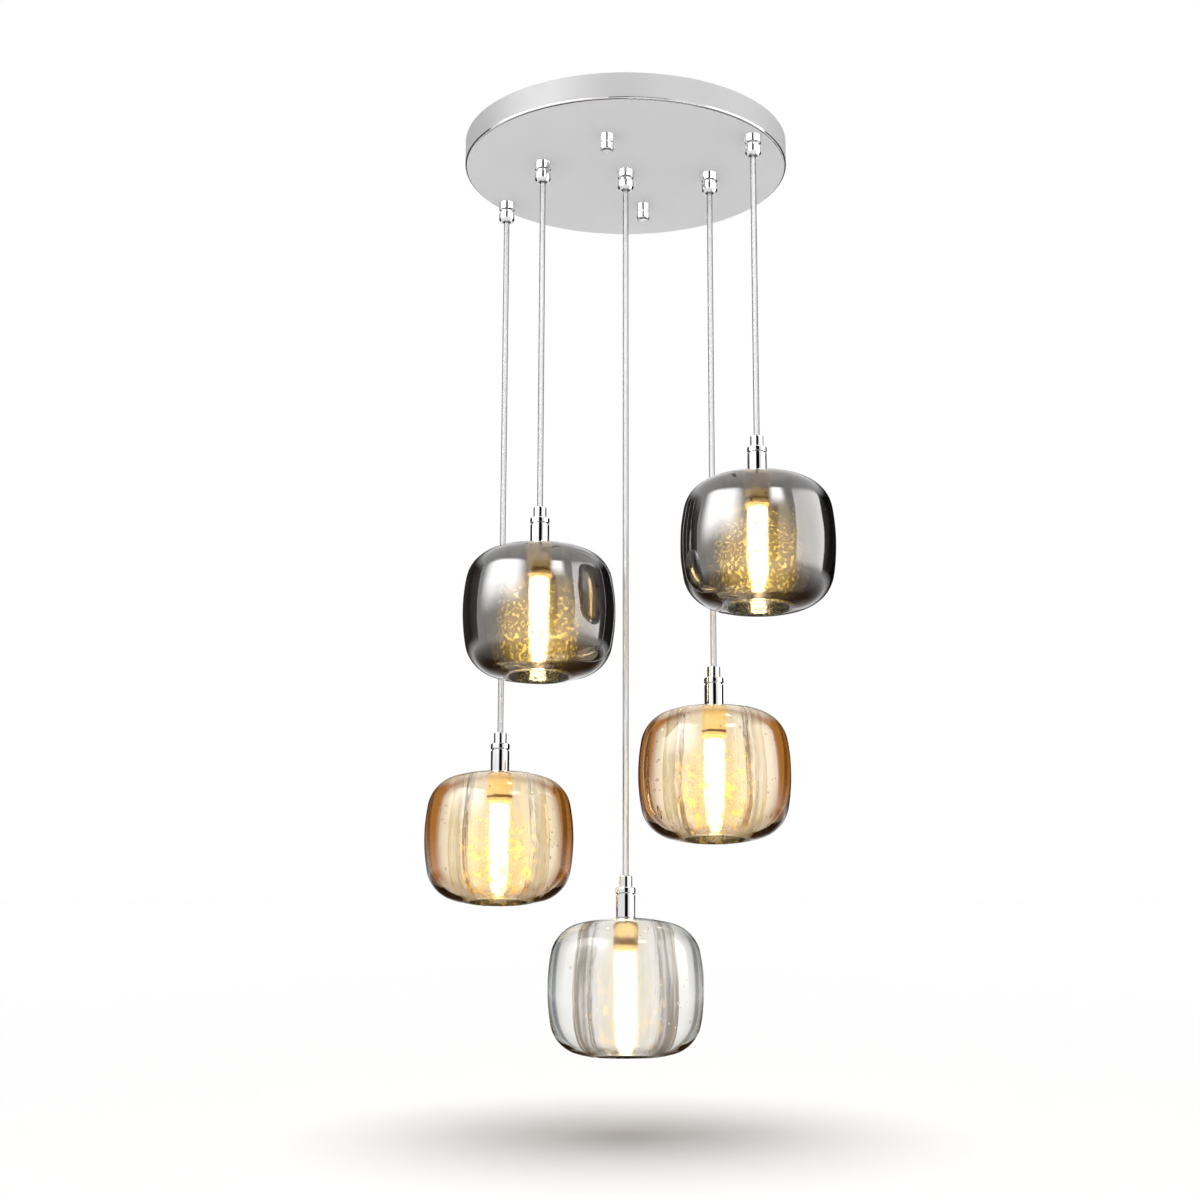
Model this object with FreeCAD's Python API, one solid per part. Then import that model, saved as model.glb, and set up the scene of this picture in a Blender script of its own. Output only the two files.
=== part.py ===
import FreeCAD, Part
import math
import os
from FreeCAD import Vector

# A cluster pendant: a round chrome canopy carries five thick glass shades on cables
# of different lengths. X is to the right, Y is to the back and Z is up, in millimetres.
# The origin is the middle of the canopy's rim, on the ceiling.

# Canopy, a shallow round pan that covers the bracket
canopy_diameter = 266
canopy_height = 22
canopy_wall = 1.2
canopy_edge_radius = 2

# Ceiling bracket, a flat strip turned a little from the Y axis
bracket_turn = 12.4
bracket_width = 20
bracket_thickness = 2
bracket_end = 8
bracket_corner = 4
stud_spacing = 140
stud_diameter = 4
stud_hole_clearance = 0.25
ceiling_hole_spacing = 90
ceiling_hole_diameter = 5.5
cable_hole_diameter = 14
stud_nut_width = 7
stud_nut_height = 3
thread_gap = 0.05

# Cap nuts under the canopy
cap_nut_diameter = 10.8
cap_nut_neck_diameter = 9
cap_nut_height = 14
cap_nut_skirt = 6.5
cap_nut_groove = 1
cap_nut_depth = 8
cap_nut_crown_share = 0.2
stud_gap_in_cap = 1.5

# Earth screw on the bracket
earth_screw_offset = 24
earth_screw_diameter = 4
earth_head_diameter = 8
earth_head_height = 2.6
earth_head_edge = 0.8
earth_slot = 1

# Terminal block on the canopy floor
block_x = 45
block_y = -80
block_length = 36
block_width = 17
block_height = 11
block_screw_diameter = 3.4
block_screw_depth = 3
lead_diameter = 2.6
lead_bend_radius = 4
lead_rise = 8.5
lead_seat = 0.3
lead_entry_height = 5.5
lead_entry_depth = 5
lead_entry_clearance = 0.2
lead_straight = 7

# Cable glands: a chrome body in two tiers, a locknut inside and a nylon ball that grips the cable
gland_diameter = 13.2
gland_tier_height = 7
gland_waist_diameter = 10
gland_waist_height = 1.6
gland_nose_height = 8.4
gland_edge = 1.2
gland_stem_diameter = 11.4
gland_hole_clearance = 0.15
gland_stem_above_nut = 1.3
locknut_width = 15
locknut_height = 3
ball_diameter = 9
ball_clearance = 0.3
ball_above_mouth = 6
mouth_diameter = 7.4

# Cable
cable_diameter = 4.6
cable_clearance = 0.2
cable_top_gap = 0.3

# Holder: a slim cap on a ring on a tube, all chrome
cap_diameter = 10.3
cap_height = 9
cap_edge = 0.8
cable_depth_in_cap = 6
spigot_diameter = 8
spigot_below_tube_top = 1
spigot_clearance = 0.1
collar_diameter = 15.4
collar_height = 6
collar_groove_diameter = 13
collar_groove_height = 1.4
collar_edge = 1
tube_diameter = 15
tube_height = 17
tube_wall = 1.5
tube_top_wall = 2
stem_diameter = 10
stem_bore = 6.5
stem_below_nut = 0.5
gasket_thickness = 1
gasket_overhang = 0.6

# Shade: a thick glass drum with rounded shoulders, hollow in the middle and open below
shade_diameter = 120
shade_half_height = 53.7
shade_side_radius = 150
shade_crown_radius = 150
shade_shoulder_radius = 28
shade_seat_depth = 0.3
shade_top_wall = 8.5
shade_hole_clearance = 0.4
cavity_diameter = 54
cavity_widest_height = 5
cavity_top_diameter = 46
cavity_top_corner = 6
mouth_opening_diameter = 45
mouth_lip_radius = 2
cavity_overrun = 1

# Washer and nut that hold the glass from inside
washer_diameter = 21
washer_thickness = 1.2
nut_width = 14
nut_height = 3

# Lamp holder and its lamp
socket_diameter = 20
socket_height = 14
socket_edge = 1.5
socket_recess_depth = 4
lamp_base_diameter = 13
lamp_base_clearance = 0.3
lamp_base_height = 6
lamp_diameter = 16
lamp_length = 66
lamp_end_share = 0.8
lamp_shoulder_share = 0.15
pin_spacing = 9
pin_diameter = 1.2
pin_length = 5
pin_clearance = 0.2

# Smallest rounding, and how far an edge's height may be off when edges are picked out by it
least_rounding = 0.3
tolerance = 0.01

# The glands stand in two circles round a middle one. Each cable has a direction, in degrees from
# the X axis, and a drop, from the canopy down to the middle of its shade.
outer_gland_to_rim = 11.5
outer_gland_radius = canopy_diameter / 2 - outer_gland_to_rim
inner_gland_radius = 70
amber_left_direction = 147.1
amber_left_drop = 549
smoke_left_direction = 193.2
smoke_left_drop = 382
clear_middle_drop = 674
amber_right_direction = 4.9
amber_right_drop = 507
smoke_right_direction = -32.9
smoke_right_drop = 339

pendants = {
    "amber_left": (outer_gland_radius, amber_left_direction, amber_left_drop),
    "smoke_left": (inner_gland_radius, smoke_left_direction, smoke_left_drop),
    "clear_middle": (0, 0, clear_middle_drop),
    "amber_right": (inner_gland_radius, amber_right_direction, amber_right_drop),
    "smoke_right": (outer_gland_radius, smoke_right_direction, smoke_right_drop),
}

floor = -canopy_height
inner_floor = floor + canopy_wall
gland_height = gland_tier_height + gland_waist_height + gland_nose_height
mouth_height = floor - gland_height
ball_height = mouth_height + ball_above_mouth
cable_top = ball_height - ball_diameter / 2 - cable_top_gap
locknut_top = inner_floor + locknut_height
stem_top = locknut_top + gland_stem_above_nut
seat_height = shade_half_height - shade_seat_depth
tube_bottom = seat_height + gasket_thickness
tube_top = tube_bottom + tube_height
collar_top = tube_top + collar_height
cap_top = collar_top + cap_height
cavity_top = seat_height - shade_top_wall
nut_bottom = cavity_top - washer_thickness - nut_height
stem_bottom = nut_bottom - stem_below_nut
socket_top = stem_bottom
socket_bottom = socket_top - socket_height
lamp_base_top = socket_bottom + socket_recess_depth
up = Vector(0, 0, 1)


def cylinder(radius, bottom, top, x=0, y=0):
    return Part.makeCylinder(radius, top - bottom, Vector(x, y, bottom))


def ring(outer, inner, bottom, top):
    return cylinder(outer, bottom, top).cut(cylinder(inner, bottom, top))


def hexagon(width, bottom, top):
    corner = width / math.sqrt(3)
    points = [
        Vector(corner * math.cos(math.radians(a)), corner * math.sin(math.radians(a)), bottom)
        for a in range(0, 361, 60)
    ]
    return Part.Face(Part.makePolygon(points)).extrude(up * (top - bottom))


def line(start, end):
    return Part.LineSegment(Vector(start[0], 0, start[1]), Vector(end[0], 0, end[1])).toShape()


def arc(start, middle, end):
    a, b, c = (Vector(p[0], 0, p[1]) for p in (start, middle, end))
    return Part.Arc(a, b, c).toShape()


def turned(edges):
    # A closed outline in the XZ plane, turned about the Z axis
    return Part.Face(Part.Wire(edges)).revolve(Vector(0, 0, 0), up, 360)


def rounded(shape, radius, height):
    # Rounds the widest circular edge at one height
    flat = [e for e in shape.Edges if e.BoundBox.ZLength < tolerance]
    edges = [e for e in flat if abs(e.BoundBox.ZMin - height) < tolerance]
    outer = max(edges, key=lambda e: e.BoundBox.XLength)
    return shape.makeFillet(radius, [outer])


def on_circle(centre, radius, angle):
    return centre[0] + radius * math.cos(angle), centre[1] + radius * math.sin(angle)


def bracket_point(distance):
    # A place on the bracket's long axis
    turn = math.radians(bracket_turn)
    return distance * math.sin(turn), distance * math.cos(turn)


def stud_places():
    return [bracket_point(stud_spacing / 2), bracket_point(-stud_spacing / 2)]


def placed(shape, x, y, z=0):
    moved = shape.copy()
    moved.translate(Vector(x, y, z))
    return moved


def at_each(shape, places):
    return Part.makeCompound([placed(shape, x, y) for x, y in places])


def gland_place(name):
    distance, direction, drop = pendants[name]
    return on_circle((0, 0), distance, math.radians(direction))


def gland_places():
    return [gland_place(name) for name in pendants]


def canopy():
    outer = cylinder(canopy_diameter / 2, floor, 0)
    outer = rounded(outer, canopy_edge_radius, floor)
    inside = cylinder(canopy_diameter / 2 - canopy_wall, inner_floor, 0)
    inner_radius = max(canopy_edge_radius - canopy_wall, least_rounding)
    shell = outer.cut(rounded(inside, inner_radius, inner_floor))
    gland_hole = gland_stem_diameter / 2 + gland_hole_clearance
    stud_hole = stud_diameter / 2 + stud_hole_clearance
    holes = [(x, y, gland_hole) for x, y in gland_places()]
    holes += [(x, y, stud_hole) for x, y in stud_places()]
    for x, y, radius in holes:
        shell = shell.cut(cylinder(radius, floor, inner_floor, x, y))
    return shell


def ceiling_bracket():
    length = stud_spacing + 2 * bracket_end
    corner = Vector(-bracket_width / 2, -length / 2, -bracket_thickness)
    strip = Part.makeBox(bracket_width, length, bracket_thickness, corner)
    ends = [e for e in strip.Edges if e.BoundBox.ZLength > bracket_thickness / 2]
    strip = strip.makeFillet(bracket_corner, ends)
    strip.rotate(Vector(0, 0, 0), up, -bracket_turn)
    holes = [(x, y, stud_diameter / 2 + thread_gap) for x, y in stud_places()]
    for side in (-1, 1):
        x, y = bracket_point(side * ceiling_hole_spacing / 2)
        holes.append((x, y, ceiling_hole_diameter / 2))
    x, y = bracket_point(earth_screw_offset)
    holes.append((x, y, earth_screw_diameter / 2 + thread_gap))
    holes.append((0, 0, cable_hole_diameter / 2))
    for x, y, radius in holes:
        strip = strip.cut(cylinder(radius, -bracket_thickness, 0, x, y))
    return strip


def bracket_studs():
    bottom = floor - cap_nut_depth + stud_gap_in_cap
    return at_each(cylinder(stud_diameter / 2, bottom, 0), stud_places())


def bracket_stud_nuts():
    top = -bracket_thickness
    nut = hexagon(stud_nut_width, top - stud_nut_height, top)
    nut = nut.cut(cylinder(stud_diameter / 2 + thread_gap, top - stud_nut_height, top))
    return at_each(nut, stud_places())


def cap_nuts():
    bottom = floor - cap_nut_height
    groove_bottom = floor - cap_nut_skirt - cap_nut_groove
    skirt = cylinder(cap_nut_diameter / 2, floor - cap_nut_skirt, floor)
    neck = cylinder(cap_nut_neck_diameter / 2 - cap_nut_groove, groove_bottom, floor - cap_nut_skirt)
    crown = cylinder(cap_nut_diameter / 2, bottom, groove_bottom)
    crown = rounded(crown, cap_nut_diameter * cap_nut_crown_share, bottom)
    nut = skirt.fuse([neck, crown]).removeSplitter()
    nut = nut.cut(cylinder(stud_diameter / 2 + thread_gap, floor - cap_nut_depth, floor))
    return at_each(nut, stud_places())


def earth_screw():
    x, y = bracket_point(earth_screw_offset)
    head_bottom = -bracket_thickness - earth_head_height
    head = cylinder(earth_head_diameter / 2, head_bottom, -bracket_thickness)
    head = rounded(head, earth_head_edge, head_bottom)
    screw = head.fuse(cylinder(earth_screw_diameter / 2, -bracket_thickness, 0)).removeSplitter()
    slot_corner = Vector(-earth_head_diameter / 2, -earth_slot / 2, head_bottom)
    slot = Part.makeBox(earth_head_diameter, earth_slot, earth_slot, slot_corner)
    return placed(screw.cut(slot), x, y)


def block_entries():
    # Where the leads enter the terminal block's side that faces the middle
    pitch = block_length / len(pendants)
    first = block_x - block_length / 2 + pitch / 2
    height = inner_floor + lead_entry_height
    return [Vector(first + pitch * i, block_y + block_width / 2, height) for i in range(len(pendants))]


def terminal_block():
    corner = Vector(block_x - block_length / 2, block_y - block_width / 2, inner_floor)
    block = Part.makeBox(block_length, block_width, block_height, corner)
    top = inner_floor + block_height
    hole = lead_diameter / 2 + lead_entry_clearance
    depth = lead_entry_depth + lead_entry_clearance
    for entry in block_entries():
        block = block.cut(Part.makeCylinder(hole, depth, entry, Vector(0, -1, 0)))
        for side in (-1, 1):
            y = block_y + side * block_width / 4
            block = block.cut(cylinder(block_screw_diameter / 2, top - block_screw_depth, top, entry.x, y))
    return block


def bend_at(before, corner, after, radius):
    # The arc that rounds one corner of a route, as its two ends and its middle
    arriving = (corner - before).normalize()
    leaving = (after - corner).normalize()
    turn = arriving.getAngle(leaving)
    reach = radius * math.tan(turn / 2)
    inward = (leaving - arriving).normalize()
    middle = corner + inward * (radius / math.cos(turn / 2) - radius)
    return corner - arriving * reach, middle, corner + leaving * reach


def bent_tube(points, radius, diameter):
    # Straight runs joined by arcs that meet them smoothly
    edges = []
    start = points[0]
    for before, corner, after in zip(points, points[1:], points[2:]):
        first, middle, last = bend_at(before, corner, after, radius)
        edges.append(Part.LineSegment(start, first).toShape())
        edges.append(Part.Arc(first, middle, last).toShape())
        start = last
    edges.append(Part.LineSegment(start, points[-1]).toShape())
    section = Part.Wire(Part.makeCircle(diameter / 2, points[0], points[1] - points[0]))
    return Part.Wire(edges).makePipeShell([section], True, False)


def lead(place, entry):
    # Up out of the gland, over to the terminal block and straight into its hole
    start = Vector(place[0], place[1], ball_height + ball_diameter / 2 + lead_seat)
    over = Vector(place[0], place[1], -lead_rise)
    ahead = entry + Vector(0, lead_straight, 0)
    end = entry - Vector(0, lead_entry_depth, 0)
    return bent_tube([start, over, ahead, end], lead_bend_radius, lead_diameter)


def supply_leads():
    # The glands are taken from left to right as the block sees them, so no two leads cross
    face = block_y + block_width / 2
    places = sorted(gland_places(), key=lambda p: math.atan2(p[1] - face, block_x - p[0]))
    return Part.makeCompound([lead(place, entry) for place, entry in zip(places, block_entries())])


def gland_body():
    radius = gland_diameter / 2
    waist = gland_waist_diameter / 2
    stem = gland_stem_diameter / 2
    waist_top = floor - gland_tier_height
    waist_bottom = waist_top - gland_waist_height
    outline = [
        (0, stem_top),
        (stem, stem_top),
        (stem, floor),
        (radius, floor),
        (radius, waist_top + gland_edge),
        (radius - gland_edge, waist_top),
        (waist, waist_top),
        (waist, waist_bottom),
        (radius - gland_edge, waist_bottom),
        (radius, waist_bottom - gland_edge),
        (radius, mouth_height + 2 * gland_edge),
        (radius - gland_edge, mouth_height),
        (0, mouth_height),
        (0, stem_top),
    ]
    body = turned([line(a, b) for a, b in zip(outline, outline[1:])])
    chamber = ball_diameter / 2 + ball_clearance
    body = body.cut(cylinder(chamber, ball_height, stem_top))
    body = body.cut(Part.makeSphere(chamber, Vector(0, 0, ball_height)))
    return body.cut(cylinder(mouth_diameter / 2, mouth_height, ball_height))


def canopy_glands():
    return at_each(gland_body(), gland_places())


def gland_locknuts():
    nut = hexagon(locknut_width, inner_floor, locknut_top)
    nut = nut.cut(cylinder(gland_stem_diameter / 2 + thread_gap, inner_floor, locknut_top))
    return at_each(nut, gland_places())


def grip_ball():
    return Part.makeSphere(ball_diameter / 2, Vector(0, 0, ball_height))


def cable(bottom):
    return cylinder(cable_diameter / 2, bottom, cable_top)


def cord_cap():
    # A slim cap with a spigot that drops through the ring into the tube
    cap = rounded(cylinder(cap_diameter / 2, collar_top, cap_top), cap_edge, cap_top)
    spigot = cylinder(spigot_diameter / 2, tube_top - tube_top_wall - spigot_below_tube_top, collar_top)
    body = cap.fuse(spigot).removeSplitter()
    bore = cable_diameter / 2 + cable_clearance
    return body.cut(cylinder(bore, cap_top - cable_depth_in_cap, cap_top))


def holder_collar():
    radius = collar_diameter / 2
    groove = collar_groove_diameter / 2
    bore = spigot_diameter / 2 + spigot_clearance
    groove_top = tube_top + collar_groove_height
    edges = [
        line((bore, tube_top), (groove, tube_top)),
        line((groove, tube_top), (groove, groove_top - collar_edge / 2)),
        line((groove, groove_top - collar_edge / 2), (radius, groove_top + collar_edge / 2)),
        line((radius, groove_top + collar_edge / 2), (radius, collar_top - collar_edge)),
        arc(
            (radius, collar_top - collar_edge),
            on_circle((radius - collar_edge, collar_top - collar_edge), collar_edge, math.pi / 4),
            (radius - collar_edge, collar_top),
        ),
        line((radius - collar_edge, collar_top), (bore, collar_top)),
        line((bore, collar_top), (bore, tube_top)),
    ]
    return turned(edges)


def holder_tube():
    # A tube with a closed top, and below it a hollow threaded stem that goes through the glass
    radius = tube_diameter / 2
    stem = stem_diameter / 2
    inside_top = tube_top - tube_top_wall
    inside_bottom = tube_bottom + tube_wall
    body = cylinder(radius, tube_bottom, tube_top).fuse(cylinder(stem, stem_bottom, tube_bottom))
    body = body.removeSplitter()
    body = body.cut(cylinder(radius - tube_wall, inside_bottom, inside_top))
    body = body.cut(cylinder(spigot_diameter / 2 + spigot_clearance, inside_top, tube_top))
    return body.cut(cylinder(stem_bore / 2, stem_bottom, inside_bottom))


def top_gasket():
    outer = tube_diameter / 2 + gasket_overhang
    return ring(outer, stem_diameter / 2 + thread_gap, seat_height, tube_bottom)


def shoulder_centre():
    # The centre of the shoulder's arc, which meets the side's arc and the crown's arc smoothly
    side = shade_diameter / 2 - shade_side_radius
    crown = shade_half_height - shade_crown_radius
    to_side = shade_side_radius - shade_shoulder_radius
    to_crown = shade_crown_radius - shade_shoulder_radius
    apart = math.hypot(side, crown)
    along = (to_side**2 - to_crown**2 + apart**2) / (2 * apart)
    across = math.sqrt(to_side**2 - along**2)
    ux, uz = -side / apart, crown / apart
    return side + along * ux - across * uz, along * uz + across * ux


def shade_outline():
    # The drum's outer outline from the top of the axis to the bottom of the axis
    side = (shade_diameter / 2 - shade_side_radius, 0)
    crown = (0, shade_half_height - shade_crown_radius)
    shoulder = shoulder_centre()
    side_angle = math.atan2(shoulder[1], shoulder[0] - side[0])
    crown_angle = math.atan2(shoulder[1] - crown[1], shoulder[0])
    top = (0, shade_half_height)
    high = on_circle(crown, shade_crown_radius, crown_angle)
    low = on_circle(side, shade_side_radius, side_angle)
    bend = on_circle(shoulder, shade_shoulder_radius, (side_angle + crown_angle) / 2)
    slope = on_circle(crown, shade_crown_radius, (crown_angle + math.pi / 2) / 2)
    mirror = [(x, -z) for x, z in (top, slope, high, bend, low)]
    return [
        arc(top, slope, high),
        arc(high, bend, low),
        arc(low, (shade_diameter / 2, 0), mirror[4]),
        arc(mirror[4], mirror[3], mirror[2]),
        arc(mirror[2], mirror[1], mirror[0]),
        line(mirror[0], top),
    ]


def cavity():
    # Flat above, widest a little over the middle and drawn in towards the mouth
    corner = cavity_top_corner
    top_radius = cavity_top_diameter / 2
    mouth = mouth_opening_diameter / 2
    below = -shade_half_height - cavity_overrun
    centre = (top_radius - corner, cavity_top - corner)
    shoulder = (top_radius, cavity_top - corner)
    edges = [
        line((0, cavity_top), (top_radius - corner, cavity_top)),
        arc((top_radius - corner, cavity_top), on_circle(centre, corner, math.pi / 4), shoulder),
        arc(shoulder, (cavity_diameter / 2, cavity_widest_height), (mouth, below)),
        line((mouth, below), (0, below)),
        line((0, below), (0, cavity_top)),
    ]
    return turned(edges)


def glass_shade():
    glass = turned(shade_outline())
    glass = glass.cut(cylinder(shade_diameter, seat_height, shade_diameter))
    glass = glass.cut(cavity())
    glass = glass.cut(cylinder(stem_diameter / 2 + shade_hole_clearance, 0, seat_height))
    flat = [e for e in glass.Edges if e.BoundBox.ZLength < tolerance]
    lowest = min(flat, key=lambda e: e.BoundBox.ZMin)
    return glass.makeFillet(mouth_lip_radius, [lowest])


def shade_nut():
    # A washer and a hexagon nut in one piece, on the stem under the glass
    washer_bottom = cavity_top - washer_thickness
    washer = cylinder(washer_diameter / 2, washer_bottom, cavity_top)
    nut = hexagon(nut_width, nut_bottom, washer_bottom)
    bore = cylinder(stem_diameter / 2 + thread_gap, nut_bottom, cavity_top)
    return washer.fuse(nut).removeSplitter().cut(bore)


def pin_places():
    return [(-pin_spacing / 2, 0), (pin_spacing / 2, 0)]


def lamp_socket():
    body = rounded(cylinder(socket_diameter / 2, socket_bottom, socket_top), socket_edge, socket_top)
    recess = lamp_base_diameter / 2 + lamp_base_clearance
    body = body.cut(cylinder(recess, socket_bottom, lamp_base_top + lamp_base_clearance))
    for x, y in pin_places():
        hole = pin_diameter / 2 + pin_clearance
        body = body.cut(cylinder(hole, lamp_base_top, lamp_base_top + pin_length + pin_clearance, x, y))
    return body


def bulb():
    # A round base with two pins, and a tube with a rounded end
    base_bottom = lamp_base_top - lamp_base_height
    bottom = socket_bottom - lamp_length
    base = cylinder(lamp_base_diameter / 2, base_bottom, lamp_base_top)
    radius = lamp_diameter / 2
    tube = cylinder(radius, bottom, base_bottom)
    tube = rounded(tube, radius * lamp_end_share, bottom)
    tube = rounded(tube, radius * lamp_shoulder_share, base_bottom)
    pin_top = lamp_base_top + pin_length
    pins = [cylinder(pin_diameter / 2, lamp_base_top, pin_top, x, y) for x, y in pin_places()]
    return tube.fuse([base] + pins).removeSplitter()


def write(name, shape):
    shape.exportStep(f"parts/{name}.step")
    print(name, "solids", len(shape.Solids), "volume", round(shape.Volume), "valid", shape.isValid())


def write_pendant(name):
    x, y = gland_place(name)
    middle = floor - pendants[name][2]
    bottom = middle + cap_top - cable_depth_in_cap + cable_top_gap
    write(f"{name}_grip_ball", placed(grip_ball(), x, y))
    write(f"{name}_cord", placed(cable(bottom), x, y))
    print(name, "cable length", round(cable_top - bottom, 1), "straight, no bends")
    pieces = {
        "cord_cap": cord_cap,
        "holder_collar": holder_collar,
        "holder_tube": holder_tube,
        "top_gasket": top_gasket,
        "glass_shade": glass_shade,
        "shade_nut": shade_nut,
        "lamp_socket": lamp_socket,
        "bulb": bulb,
    }
    for piece, make in pieces.items():
        write(f"{name}_{piece}", placed(make(), x, y, middle))


os.makedirs("parts", exist_ok=True)
write("canopy", canopy())
write("ceiling_bracket", ceiling_bracket())
write("bracket_studs", bracket_studs())
write("bracket_stud_nuts", bracket_stud_nuts())
write("cap_nuts", cap_nuts())
write("earth_screw", earth_screw())
write("terminal_block", terminal_block())
write("supply_leads", supply_leads())
write("canopy_glands", canopy_glands())
write("gland_locknuts", gland_locknuts())
for name in pendants:
    write_pendant(name)
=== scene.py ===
import math
import random

import bpy
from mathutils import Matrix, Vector


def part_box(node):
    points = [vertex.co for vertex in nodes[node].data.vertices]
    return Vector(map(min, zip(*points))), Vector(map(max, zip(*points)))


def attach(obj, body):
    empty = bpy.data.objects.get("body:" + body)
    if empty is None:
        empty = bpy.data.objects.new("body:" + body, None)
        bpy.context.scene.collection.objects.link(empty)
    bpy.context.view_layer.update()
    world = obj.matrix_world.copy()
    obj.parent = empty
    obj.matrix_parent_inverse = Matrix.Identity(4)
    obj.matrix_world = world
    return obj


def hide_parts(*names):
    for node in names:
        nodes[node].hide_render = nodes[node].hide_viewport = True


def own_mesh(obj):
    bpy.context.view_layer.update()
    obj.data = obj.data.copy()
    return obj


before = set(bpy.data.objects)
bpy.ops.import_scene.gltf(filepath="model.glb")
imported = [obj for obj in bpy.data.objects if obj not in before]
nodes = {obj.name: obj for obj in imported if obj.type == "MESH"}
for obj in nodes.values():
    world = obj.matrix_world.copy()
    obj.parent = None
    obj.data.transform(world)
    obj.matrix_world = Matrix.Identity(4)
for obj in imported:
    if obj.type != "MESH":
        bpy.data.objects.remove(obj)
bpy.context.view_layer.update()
bpy.ops.object.select_all(action="DESELECT")
mm = 0.001

bpy.context.scene.view_settings.view_transform = "Standard"
print("frame loaded,", len(nodes), "nodes")

# Each pendant's glass, and how far its holder can be pulled up, in mm
pendants = {
    "amber_left": {"glass": "amber", "lift": 55},
    "smoke_left": {"glass": "smoke", "lift": 190},
    "clear_middle": {"glass": "clear", "lift": 52},
    "amber_right": {"glass": "amber", "lift": 55},
    "smoke_right": {"glass": "smoke", "lift": 150},
}
seatHeight = 53.4  # the glass's flat seat above the shade's middle


def shadeMiddle(name):
    low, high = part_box(f"{name}_glass_shade")
    return Vector(((low.x + high.x) / 2, (low.y + high.y) / 2, high.z - seatHeight * mm))


def toLinear(hexColour):
    channels = [int(hexColour[i : i + 2], 16) / 255 for i in (1, 3, 5)]
    return tuple(c / 12.92 if c <= 0.04045 else ((c + 0.055) / 1.055) ** 2.4 for c in channels) + (1,)


def newMaterial(name):
    material = bpy.data.materials.new(name)
    material.use_nodes = True
    tree = material.node_tree
    shader = next(n for n in tree.nodes if n.type == "BSDF_PRINCIPLED")
    output = next(n for n in tree.nodes if n.type == "OUTPUT_MATERIAL")
    return material, tree, shader, output


def addNode(tree, kind, settings=None, links=None):
    # settings are the node's own values, with "in:Name" for a socket; links are socket: source output
    node = tree.nodes.new(kind)
    for key, value in (settings or {}).items():
        if key.startswith("in:"):
            node.inputs[int(key[3:]) if key[3:].isdigit() else key[3:]].default_value = value
        else:
            setattr(node, key, value)
    for key, source in (links or {}).items():
        tree.links.new(source, node.inputs[int(key) if key.isdigit() else key])
    return node


def setShader(shader, values):
    for key, value in values.items():
        shader.inputs[key].default_value = value


def wander(tree, size, detail=3, stretch=(1, 1, 1)):
    # A soft pattern between 0 and 1 whose patches have a real size in mm
    place = addNode(tree, "ShaderNodeTexCoord").outputs["Object"]
    drawn = addNode(tree, "ShaderNodeMapping", {"in:Scale": stretch}, {"Vector": place}).outputs[0]
    settings = {"in:Scale": 1 / (size * mm), "in:Detail": detail}
    return addNode(tree, "ShaderNodeTexNoise", settings, {"Vector": drawn}).outputs["Fac"]


def ease(start, end, low=0.0, high=1.0):
    # Settings of a map range that eases from low at start to high at end
    ends = {"in:From Min": start, "in:From Max": end, "in:To Min": low, "in:To Max": high}
    return {"interpolation_type": "SMOOTHSTEP"} | ends


def colours(low, high):
    # Settings of a mix between two hex colours
    return {"data_type": "RGBA", "in:6": toLinear(low), "in:7": toLinear(high)}


product = {"operation": "MULTIPLY"}
larger = {"operation": "MAXIMUM"}
roughShare = (0.3, 0.7)  # the part of a soft pattern over which the roughness changes
lampShare = (0.25, 0.85)  # the slant over which a lit lamp's middle turns to its edge


def makeSurface(name, look):
    # An opaque surface: colour and roughness wander in patches, and fine relief is bumped, sizes in mm
    material, tree, shader, output = newMaterial(name)
    setShader(shader, look.get("set", {}))
    tones, patches = wander(tree, look["patch"]), wander(tree, look["patch"] / 4, 4)
    colour = addNode(tree, "ShaderNodeMix", colours(look["low"], look["high"]), {"0": tones})
    tree.links.new(colour.outputs[2], shader.inputs["Base Color"])
    rough = addNode(tree, "ShaderNodeMapRange", ease(*roughShare, *look["rough"]), {"Value": patches})
    tree.links.new(rough.outputs[0], shader.inputs["Roughness"])
    if "grain" in look:
        height = wander(tree, look["grain"], 3, look.get("stretch", (1, 1, 1)))
        settings = {"in:Strength": look.get("relief", 0.3), "in:Distance": look["depth"] * mm}
        bump = addNode(tree, "ShaderNodeBump", settings, {"Height": height})
        tree.links.new(bump.outputs["Normal"], shader.inputs["Normal"])
    if "glow" in look:  # strength of a lit lamp at its middle and at its edge
        slant = addNode(tree, "ShaderNodeLayerWeight", {"in:Blend": 0.5}).outputs["Facing"]
        glow = addNode(tree, "ShaderNodeMapRange", ease(*lampShare, *look["glow"]), {"Value": slant})
        tree.links.new(glow.outputs[0], shader.inputs["Emission Strength"])
    return material


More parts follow.
